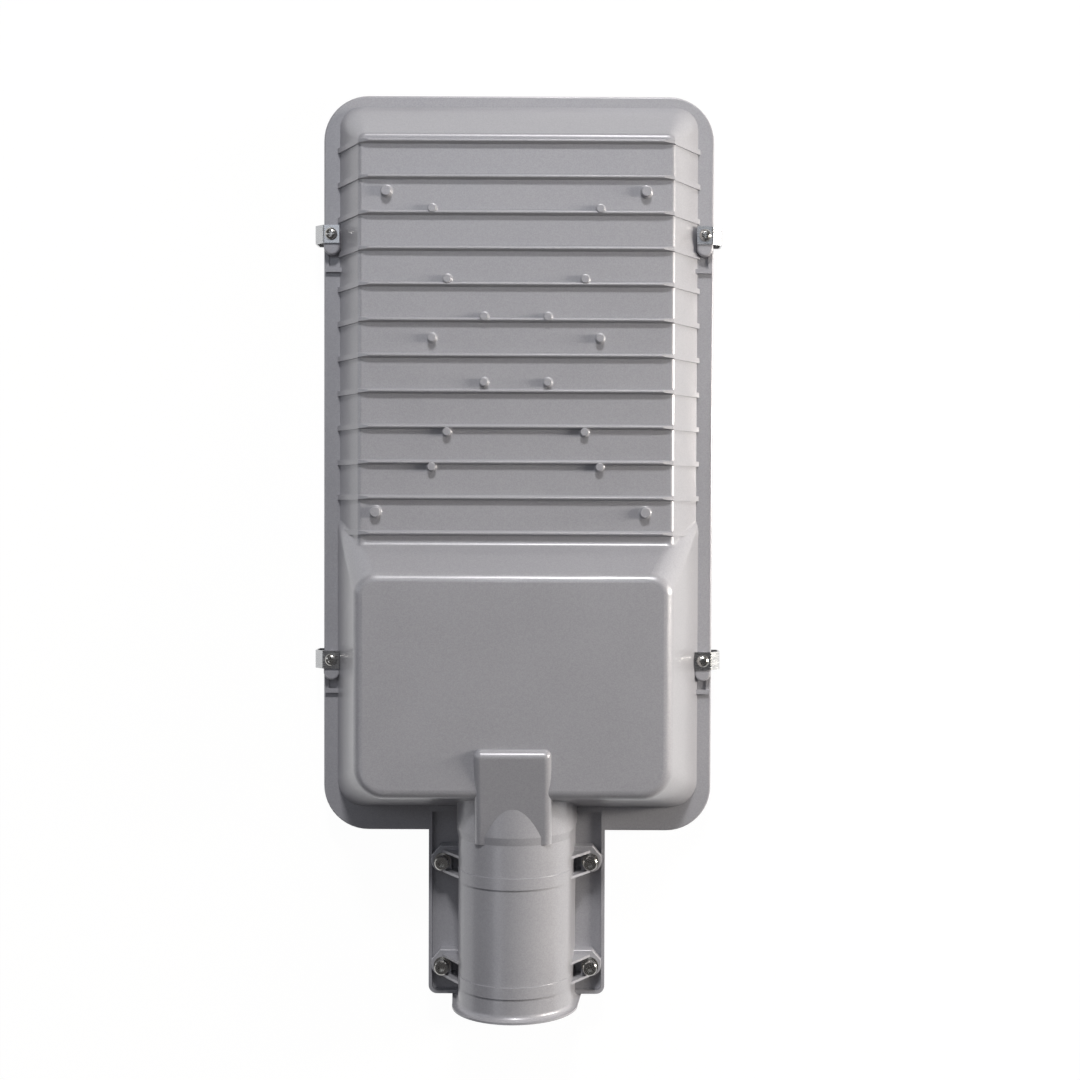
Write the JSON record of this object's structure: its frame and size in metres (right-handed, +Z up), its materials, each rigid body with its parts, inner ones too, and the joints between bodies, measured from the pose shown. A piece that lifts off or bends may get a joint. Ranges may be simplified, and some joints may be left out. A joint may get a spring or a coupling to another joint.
{
  "type": "led street light head",
  "caption": "Flat LED street light head: a finned die casting with a raised driver box, a clamped pole socket, bolt ears, and a glass pane held under it by folded clips.",
  "frame": {"origin": "on the axis of the pole socket, at its mouth", "axes": "+Y from the mouth along the head to its far tip, +Z up, away from the road"},
  "size_m": [0.2396, 0.5335, 0.0771],
  "materials": {
    "silver_coat": "silver-grey powder coat with a fine sparkle, on an aluminium die casting",
    "plated_steel": "zinc-plated steel",
    "clip_steel": "bright rolled stainless strip",
    "gasket_rubber": "black silicone rubber",
    "clear_glass": "clear tempered glass",
    "board_aluminium": "aluminium core with a white solder mask",
    "led_phosphor": "yellow phosphor in a white package",
    "clear_plastic": "clear moulded polycarbonate",
    "white_plastic": "white moulded plastic",
    "liner_white": "white formed sheet, satin",
    "driver_aluminium": "plain extruded aluminium case",
    "cover_aluminium": "plain rolled aluminium sheet",
    "output_lead_sheath": "red and black lead sheath",
    "input_lead_sheath": "brown, blue and green lead sheath"
  },
  "bodies": {
    "root": {"housing": "silver_coat", "pole_clamp": "silver_coat", "clamp_bolts": "plated_steel", "clamp_spring_washers": "plated_steel", "clamp_flat_washers": "plated_steel", "clamp_nuts": "plated_steel", "glass_gasket": "gasket_rubber", "glass_pane": "clear_glass", "glass_clips": "clip_steel", "clip_screws": "plated_steel", "led_board": "board_aluminium", "led_packages": "led_phosphor", "lens_plate": "clear_plastic", "board_screws": "plated_steel", "board_connector": "white_plastic", "reflector_liner": "liner_white", "liner_screws": "plated_steel", "led_driver": "driver_aluminium", "driver_screws": "plated_steel", "terminal_block": "white_plastic", "terminal_screws": "plated_steel", "terminal_fixing_screws": "plated_steel", "earth_washer": "plated_steel", "earth_screw": "plated_steel", "driver_cover": "cover_aluminium", "cover_screws": "plated_steel", "inlet_grommet": "gasket_rubber", "lead_grommet": "gasket_rubber", "output_leads": "output_lead_sheath", "input_leads": "input_lead_sheath"}
  },
  "joints": []
}
